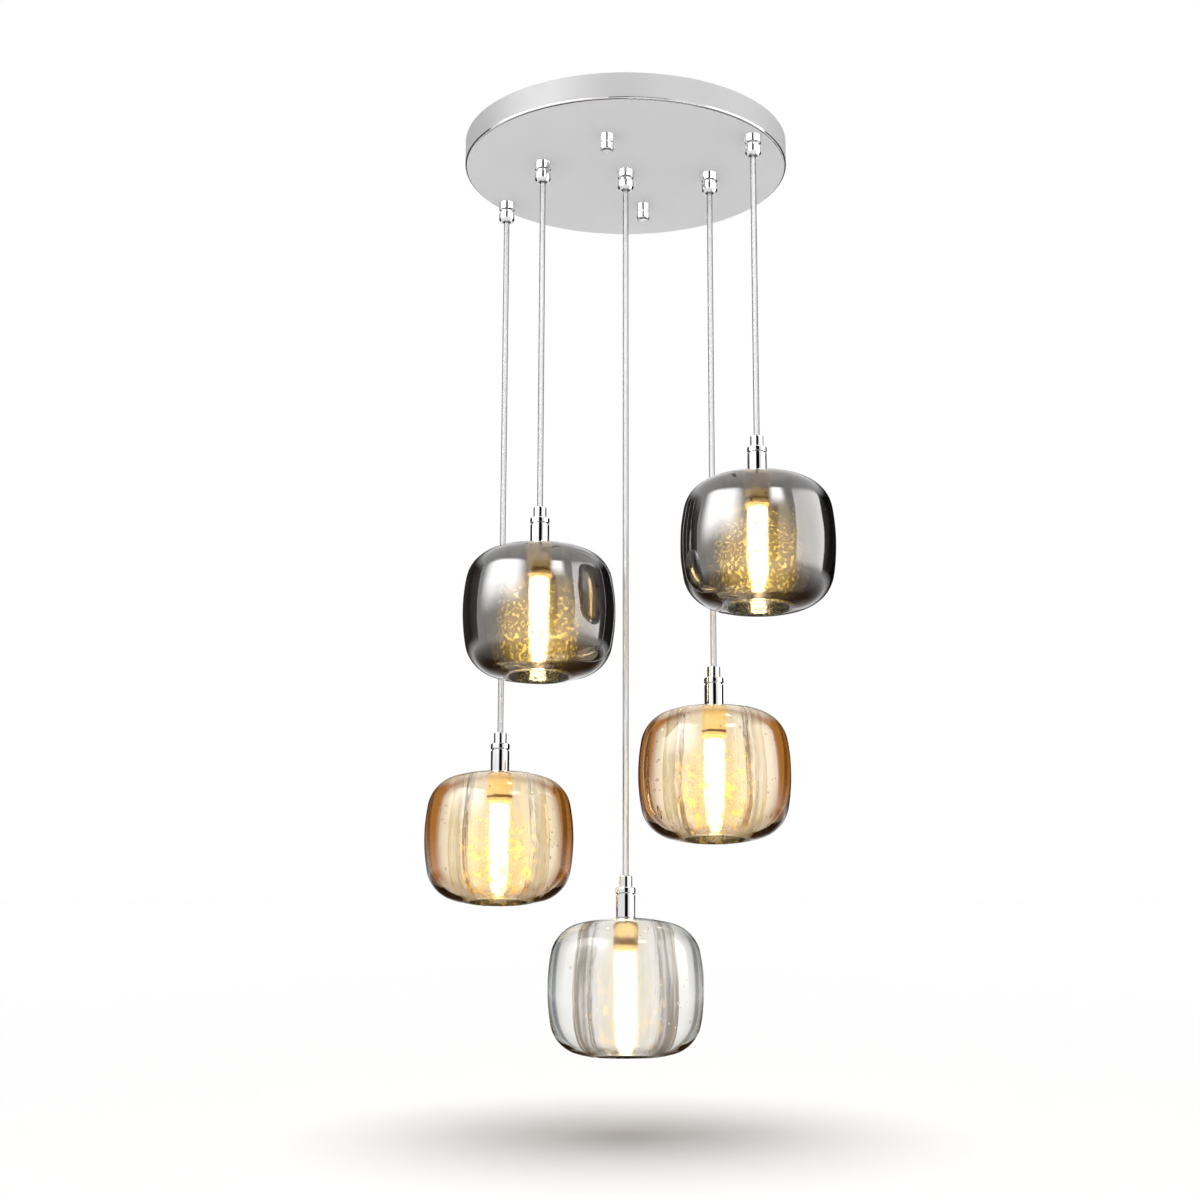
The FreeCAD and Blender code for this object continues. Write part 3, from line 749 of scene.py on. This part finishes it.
def blowShade(name, place, plain, draw):
    # Turned and moved by chance while it's roughened, so that no two shades are alike
    feel = glassFeel[place["glass"]]
    piece = copyTo(plain, f"{name}_thick_shade", (0, 0, 0))
    makeActive(piece)
    piece.rotation_euler.z = draw.uniform(0, math.tau)
    bpy.ops.object.transform_apply(location=True, rotation=True, scale=True)
    groupWhere(piece, "cavityWall", inCavity)
    groupWhere(piece, "outerFace", onOutside)
    makeActive(piece)
    spread = Vector((draw.uniform(-1, 1), draw.uniform(-1, 1), draw.uniform(-1, 1)))
    piece.location = spread
    bpy.ops.object.transform_apply(location=True, rotation=False, scale=False)
    roughen(piece, "cavityWall", "STUCCI", feel["dimpleSize"], feel["dimple"])
    roughen(piece, "outerFace", "CLOUDS", feel["waveSize"], feel["wave"])
    makeActive(piece)
    piece.location = -spread
    bpy.ops.object.transform_apply(location=True, rotation=False, scale=False)
    markSkin(piece)
    joinTo(piece, [seedBubbles(feel["bubbles"], draw)])
    piece.location = shadeMiddle(name)
    bpy.ops.object.transform_apply(location=True, rotation=False, scale=False)
    piece.vertex_groups.clear()
    smoothed(piece, 50)
    paint(piece, place["glass"])
    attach(piece, f"{name}_pendant")
    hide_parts(f"{name}_glass_shade")


plainShade = turnProfile("plainShade", shadeProfile(), shade["steps"], closed=True)
draw = random.Random(11)
for name, place in pendants.items():
    blowShade(name, place, plainShade, draw)
throwAway(plainShade)
print("shades blown")

lamp = {
    "footTop": 30.2, "footBottom": 24.2, "foot": 6.5, "chamfer": 0.5,
    "ringHeight": 1.5, "ringDepth": 0.4, "waist": 0.6,
    "tube": 8, "shoulder": 1.2, "bottom": -39.8, "end": 6.4, "seam": 0.01,
    "pinSpacing": 9, "pin": 0.6, "pinHeight": 5, "pinChamfer": (0.2, 0.4),
}


def footProfile():
    # A chamfered top and one groove, which leaves two moulded rings
    top, low, foot = lamp["footTop"], lamp["footBottom"], lamp["foot"]
    edge, depth = lamp["chamfer"], lamp["ringDepth"]
    ring = top - edge - lamp["ringHeight"]
    profile = [(0, top), (foot - edge, top), (foot, top - edge), (foot, ring), (foot - depth, ring - depth)]
    ring -= depth + lamp["waist"]
    return profile + [(foot - depth, ring), (foot, ring - depth), (foot, low), (0, low)]


def capsuleProfile():
    tube, end, bend = lamp["tube"], lamp["end"], lamp["shoulder"]
    top = lamp["footBottom"] - lamp["seam"]
    profile = [(0, top)] + arcPoints((tube - bend, top - bend), bend, 90, 0, 5)
    return profile + arcPoints((tube - end, lamp["bottom"] + end), end, 0, -90, 14) + [(0, lamp["bottom"])]


def makeLamp():
    # The foot, the opal capsule under it and two pins
    foot = smoothed(turnProfile("lampFoot", footProfile(), 48), 30)
    paint(foot, "lampFoot")
    capsule = smoothed(turnProfile("lampCapsule", capsuleProfile(), 48), 40)
    paint(capsule, "lampGlass")
    parts = [foot, capsule]
    low, high, pin = lamp["footTop"] - lamp["chamfer"], lamp["footTop"] + lamp["pinHeight"], lamp["pin"]
    inwards, down = lamp["pinChamfer"]
    profile = [(0, low), (pin, low), (pin, high - down), (pin - inwards, high), (0, high)]
    for side in (-1, 1):
        piece = smoothed(turnProfile("lampPin", profile, 16), 30)
        makeActive(piece)
        piece.location.x = side * lamp["pinSpacing"] / 2 * mm
        bpy.ops.object.transform_apply(location=True, rotation=False, scale=False)
        paint(piece, "nickel")
        parts.append(piece)
    joinTo(foot, parts)
    clearSelection()
    return foot


socket = {
    "top": 40.2, "bottom": 26.2, "radius": 10, "edge": 1.5, "recess": 6.8, "recessTop": 30.5, "chamfer": 0.4,
    # The last pair: the radii within which the grooves' faces are painted as shade
    "groove": 0.9, "grooveDepth": 0.8, "grooves": (36.4, 29.4), "paintedShadeReach": (7.8, 9.9),
}


def makeSocket():
    # The ceramic holder: two grooves outside, painted dark as shade, and a round recess for the lamp's foot
    radius, edge, top, bottom = socket["radius"], socket["edge"], socket["top"], socket["bottom"]
    groove, depth, chamfer = socket["groove"], socket["grooveDepth"], socket["chamfer"]
    profile = [(0, top), (radius - edge, top)] + arcPoints((radius - edge, top - edge), edge, 80, 0, 4)
    for height in socket["grooves"]:
        profile += [(radius, height + groove), (radius - depth, height + groove / 2)]
        profile += [(radius - depth, height - groove / 2), (radius, height - groove)]
    profile += [(radius, bottom + chamfer), (radius - chamfer, bottom), (socket["recess"], bottom)]
    profile += [(socket["recess"], socket["recessTop"]), (0, socket["recessTop"])]
    piece = smoothed(turnProfile("ringedSocket", profile, 64), 30)
    # Painted honey gold with a faint painted glow, standing for the lamp's light
    paint(piece, "ceramic")
    # The grooves' faces get a dark glaze: painted shade in the recesses
    piece.data.materials.append(finishes["paintedGrooveShade"])
    inner, outer = socket["paintedShadeReach"]
    for face in piece.data.polygons:
        reach, height = math.hypot(face.center.x, face.center.y) / mm, face.center.z / mm
        inGroove = any(abs(height - middle) < groove for middle in socket["grooves"])
        face.material_index = 1 if inGroove and inner < reach < outer else 0
    return piece


modelSocket = makeSocket()
for name in pendants:
    piece = copyTo(modelSocket, f"{name}_ringed_socket", shadeMiddle(name))
    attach(piece, f"{name}_pendant")
    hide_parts(f"{name}_lamp_socket")
throwAway(modelSocket)

modelLamp = makeLamp()
for name, place in pendants.items():
    piece = copyTo(modelLamp, f"{name}_capsule_lamp", shadeMiddle(name))
    if place["glass"] == "smoke":
        slot = piece.data.materials.find(finishes["lampGlass"].name)
        piece.data.materials[slot] = finishes["brightLampGlass"]
    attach(piece, f"{name}_bulb_body")
    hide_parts(f"{name}_bulb")
throwAway(modelLamp)
print("lamps made")

canopyEdge = {"radius": 2, "flattest": 0.97, "steepest": 0.1}  # mm, and how far its faces look down


def buffRolledEdge():
    # The rolled lower edge of the canopy is buffed bright
    canopy = nodes["canopy"]
    canopy.data.materials.append(finishes["polishedChrome"])
    low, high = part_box("canopy")
    width = canopyEdge["radius"] * mm
    for face in canopy.data.polygons:
        out = math.hypot(face.center.x, face.center.y) > high.x - width
        down = canopyEdge["steepest"] < -face.normal.z < canopyEdge["flattest"]
        if out and down and face.center.z < low.z + width:
            face.material_index = 1


rootFinishes = {
    "canopy": "satinChrome",
    "ceiling_bracket": "zinc",
    "bracket_studs": "zinc",
    "bracket_stud_nuts": "zinc",
    "cap_nuts": "polishedChrome",
    "earth_screw": "brass",
    "terminal_block": "polyamide",
    "canopy_glands": "polishedChrome",
    "gland_locknuts": "zinc",
}
pendantFinishes = {
    "grip_ball": "nylon",
    "cord_cap": "polishedChrome",
    "holder_collar": "polishedChrome",
    "holder_tube": "polishedChrome",
    "top_gasket": "silicone",
    "shade_nut": "polishedChrome",
}
for node, finish in rootFinishes.items():
    paint(nodes[node], finish)
nodes["canopy"].visible_glossy = False  # the glands mirror the studio, not the plate that they stand on
buffRolledEdge()
for name in pendants:
    for part, finish in pendantFinishes.items():
        paint(nodes[f"{name}_{part}"], finish)
clearSelection()
print("CAD nodes finished")

studio = {
    "floorHeight": -0.806,
    "floorSlope": 9,
    "floorSize": 8,
    "floorParts": 24,
    "floorColour": "#E6E6E6",
    "floorLift": 0.02,
    "worldStrength": 0.27,
    "sunHeight": 2,
    "cardOverFloor": 0.01,
    "cardFade": 0.3,  # least part of a card's height over which it fades out at its top and bottom
}
# A box high in front, flagged off all but the canopy, whose rim it lifts to the grey of its underside
fillBox = {"place": (0.45, -1.4, 0.4), "size": (0.7, 1.0), "power": 5}
# Two soft overhead suns that together light the sweep to white, each with the pieces that throw its shadow
suns = {
    "canopySun": {"strength": 2.92, "angle": 20, "makers": ("canopy",)},
    "shadeSun": {
        "strength": 0.2, "angle": 30, "makers": ("smoke_left_thick_shade", "amber_right_thick_shade"),
    },
}
# Studio cards, each seen by one kind of ray alone: in mirrors (metal and the outside of glass), or
# through lenses (what the glass bends into view). Azimuth 0 is the camera's side, + is to the right.
cards = {
    "leftBox": {"seen": "mirror", "azimuth": -57, "distance": 1.6, "size": (2.7, 1.7), "middle": 0.57,
                "colour": "#FFFFFF", "level": 8, "soft": 0.35},
    "rightBox": {"seen": "mirror", "azimuth": 79, "distance": 1.5, "size": (1.5, 1.8), "middle": 0.1,
                 "colour": "#FFFDFA", "level": 3.5, "soft": 0.05},
    "smallBox": {"seen": "mirror", "azimuth": 29, "distance": 1.4, "size": (0.7, 0.6), "middle": 0.53,
                 "colour": "#FFFFFF", "level": 9, "soft": 0.4},
    "cameraFlag": {"seen": "mirror", "azimuth": 8, "distance": 2.4, "size": (1.7, 3.6), "middle": 0.2,
                   "colour": "#0A0A0A", "level": 1, "soft": 0.03},
    "rightBackFlag": {"seen": "mirror", "azimuth": 143, "distance": 1.5, "size": (2.3, 1.7), "middle": 0.05,
                      "colour": "#141414", "level": 1, "soft": 0.03},
    "leftBackFlag": {"seen": "mirror", "azimuth": -140, "distance": 1.52, "size": (2.4, 1.7), "middle": 0.05,
                     "colour": "#3A3230", "level": 1, "soft": 0.03},
    "walnutBoard": {"seen": "mirror", "azimuth": 180, "distance": 0.2, "size": (2.8, 2.6), "middle": 0,
                    "colour": "#4C3520", "level": 1, "soft": 0.4, "lying": True},
    "rightEdgeFlag": {"seen": "lens", "azimuth": -94, "distance": 1.6, "size": (0.8, 3.4), "middle": -0.2,
                      "colour": "#4A3A30", "level": 1, "soft": 0.05},
    "leftEdgeFlag": {"seen": "lens", "azimuth": 97, "distance": 1.6, "size": (0.75, 3.4), "middle": -0.2,
                     "colour": "#8A7468", "level": 1, "soft": 0.05},
    "backScreen": {"seen": "lens", "azimuth": 180, "distance": 1.6, "size": (1.9, 3.4), "middle": -0.2,
                   "colour": "#F3EDE0", "level": 1, "soft": 0.3},
    "rightPatch": {"seen": "lens", "azimuth": 126, "distance": 1.6, "size": (0.36, 3.4), "middle": -0.2,
                   "colour": "#A3AAB9", "level": 1, "soft": 0.3},
    "leftPatch": {"seen": "lens", "azimuth": -126, "distance": 1.6, "size": (0.36, 3.4), "middle": -0.2,
                  "colour": "#AEA6AC", "level": 1, "soft": 0.3},
}


def backgroundRays(tree):
    # 1 for what the camera sees itself or in metal and glass
    path = addNode(tree, "ShaderNodeLightPath").outputs
    links = {"0": path["Is Camera Ray"], "1": path["Is Glossy Ray"]}
    first = addNode(tree, "ShaderNodeMath", larger, links)
    links = {"0": first.outputs[0], "1": path["Is Transmission Ray"]}
    return addNode(tree, "ShaderNodeMath", larger, links).outputs[0]


def makeWorld():
    world = bpy.data.worlds.new("studio")
    bpy.context.scene.world = world
    world.use_nodes = True
    tree = world.node_tree
    tree.nodes.clear()
    settings = ease(0, 1, studio["worldStrength"], 1)
    level = addNode(tree, "ShaderNodeMapRange", settings, {"Value": backgroundRays(tree)})
    links = {"Strength": level.outputs[0]}
    sky = addNode(tree, "ShaderNodeBackground", {"in:Color": toLinear("#FFFFFF")}, links)
    addNode(tree, "ShaderNodeOutputWorld", {}, {"Surface": sky.outputs[0]})


def makeFloor():
    # White paper sweep that rises to the back; it's clear from below and for what glass bends into view
    parts, size = studio["floorParts"], studio["floorSize"]
    bpy.ops.mesh.primitive_grid_add(x_subdivisions=parts, y_subdivisions=parts, size=size, location=(0, 0, 0))
    floor = bpy.context.active_object
    floor.name = "paperSweep"
    floor.rotation_euler.x = math.radians(studio["floorSlope"])
    floor.location.z = studio["floorHeight"]
    material, tree, shader, output = newMaterial("sweepPaper")
    setShader(shader, {"Base Color": toLinear(studio["floorColour"]), "Roughness": 0.9})
    setShader(shader, {"Specular IOR Level": 0.1})
    settings = ease(0, 1, 0, studio["floorLift"])
    lift = addNode(tree, "ShaderNodeMapRange", settings, {"Value": backgroundRays(tree)})
    glow = addNode(tree, "ShaderNodeEmission", {}, {"Strength": lift.outputs[0]})
    paper = addNode(tree, "ShaderNodeAddShader", {}, {"0": shader.outputs[0], "1": glow.outputs[0]})
    clear = addNode(tree, "ShaderNodeBsdfTransparent")
    under = addNode(tree, "ShaderNodeNewGeometry").outputs["Backfacing"]
    bent = addNode(tree, "ShaderNodeLightPath").outputs["Is Transmission Ray"]
    away = addNode(tree, "ShaderNodeMath", larger, {"0": under, "1": bent})
    links = {"0": away.outputs[0], "1": paper.outputs[0], "2": clear.outputs[0]}
    mixed = addNode(tree, "ShaderNodeMixShader", {}, links)
    tree.links.new(mixed.outputs[0], output.inputs["Surface"])
    floor.data.materials.append(material)
    clearSelection()


def addCard(name, look):
    # A plane that fades out towards its edges and stands upright or lies on the sweep
    turn, slope = math.radians(look["azimuth"]), math.radians(studio["floorSlope"])
    place = (math.sin(turn) * look["distance"], -math.cos(turn) * look["distance"], look["middle"])
    rotation = (math.pi / 2, 0, turn)
    if look.get("lying"):
        height = studio["floorHeight"] + place[1] * math.tan(slope) + studio["cardOverFloor"]
        place, rotation = (place[0], place[1], height), (slope, 0, 0)
    bpy.ops.mesh.primitive_plane_add(size=1, location=place, rotation=rotation)
    card = bpy.context.active_object
    card.name = name
    card.scale = (*look["size"], 1)
    material, tree, shader, output = newMaterial(name)
    place = addNode(tree, "ShaderNodeTexCoord").outputs["UV"]
    sides = addNode(tree, "ShaderNodeSeparateXYZ", {}, {"0": place}).outputs
    shares = []
    for axis, soft in (("X", look["soft"]), ("Y", max(look["soft"], studio["cardFade"]))):
        offset = addNode(tree, "ShaderNodeMath", {"operation": "SUBTRACT", "in:1": 0.5}, {"0": sides[axis]})
        away = addNode(tree, "ShaderNodeMath", {"operation": "ABSOLUTE"}, {"0": offset.outputs[0]})
        fade = addNode(tree, "ShaderNodeMapRange", ease(0.5 - soft, 0.5, 1, 0), {"Value": away.outputs[0]})
        shares.append(fade.outputs[0])
    share = addNode(tree, "ShaderNodeMath", product, {"0": shares[0], "1": shares[1]})
    settings = {"in:Color": toLinear(look["colour"]), "in:Strength": look["level"]}
    glow = addNode(tree, "ShaderNodeEmission", settings)
    clear = addNode(tree, "ShaderNodeBsdfTransparent")
    links = {"0": share.outputs[0], "1": clear.outputs[0], "2": glow.outputs[0]}
    tree.links.new(addNode(tree, "ShaderNodeMixShader", {}, links).outputs[0], output.inputs["Surface"])
    card.data.materials.append(material)
    card.visible_camera = card.visible_diffuse = card.visible_shadow = False
    card.visible_glossy = look["seen"] == "mirror"
    card.visible_transmission = look["seen"] == "lens"
    clearSelection()


def collect(name, things):
    collection = bpy.data.collections.new(name)
    for thing in things:
        collection.objects.link(thing)
    return collection


def addLights():
    lights = []
    for name, look in suns.items():
        bpy.ops.object.light_add(type="SUN", location=(0, 0, studio["sunHeight"]), rotation=(0, 0, 0))
        sun = bpy.context.active_object
        sun.data.energy = look["strength"]
        sun.data.angle = math.radians(look["angle"])
        makers = [nodes[m] if m in nodes else bpy.data.objects[m] for m in look["makers"]]
        sun.light_linking.blocker_collection = collect(f"{name}Makers", makers)
        lights.append(sun)
    place = Vector(fillBox["place"])
    bpy.ops.object.light_add(type="AREA", location=place)
    box = bpy.context.active_object
    box.data.shape = "RECTANGLE"
    box.data.size, box.data.size_y = fillBox["size"]
    box.data.energy = fillBox["power"]
    box.rotation_euler = (-place).to_track_quat("-Z", "Y").to_euler()
    box.light_linking.receiver_collection = collect("fillReceivers", [nodes["canopy"]])
    for light in lights + [box]:
        light.visible_camera = light.visible_glossy = light.visible_transmission = False
    clearSelection()


makeWorld()
makeFloor()
for name, look in cards.items():
    addCard(name, look)
addLights()
print("studio set")
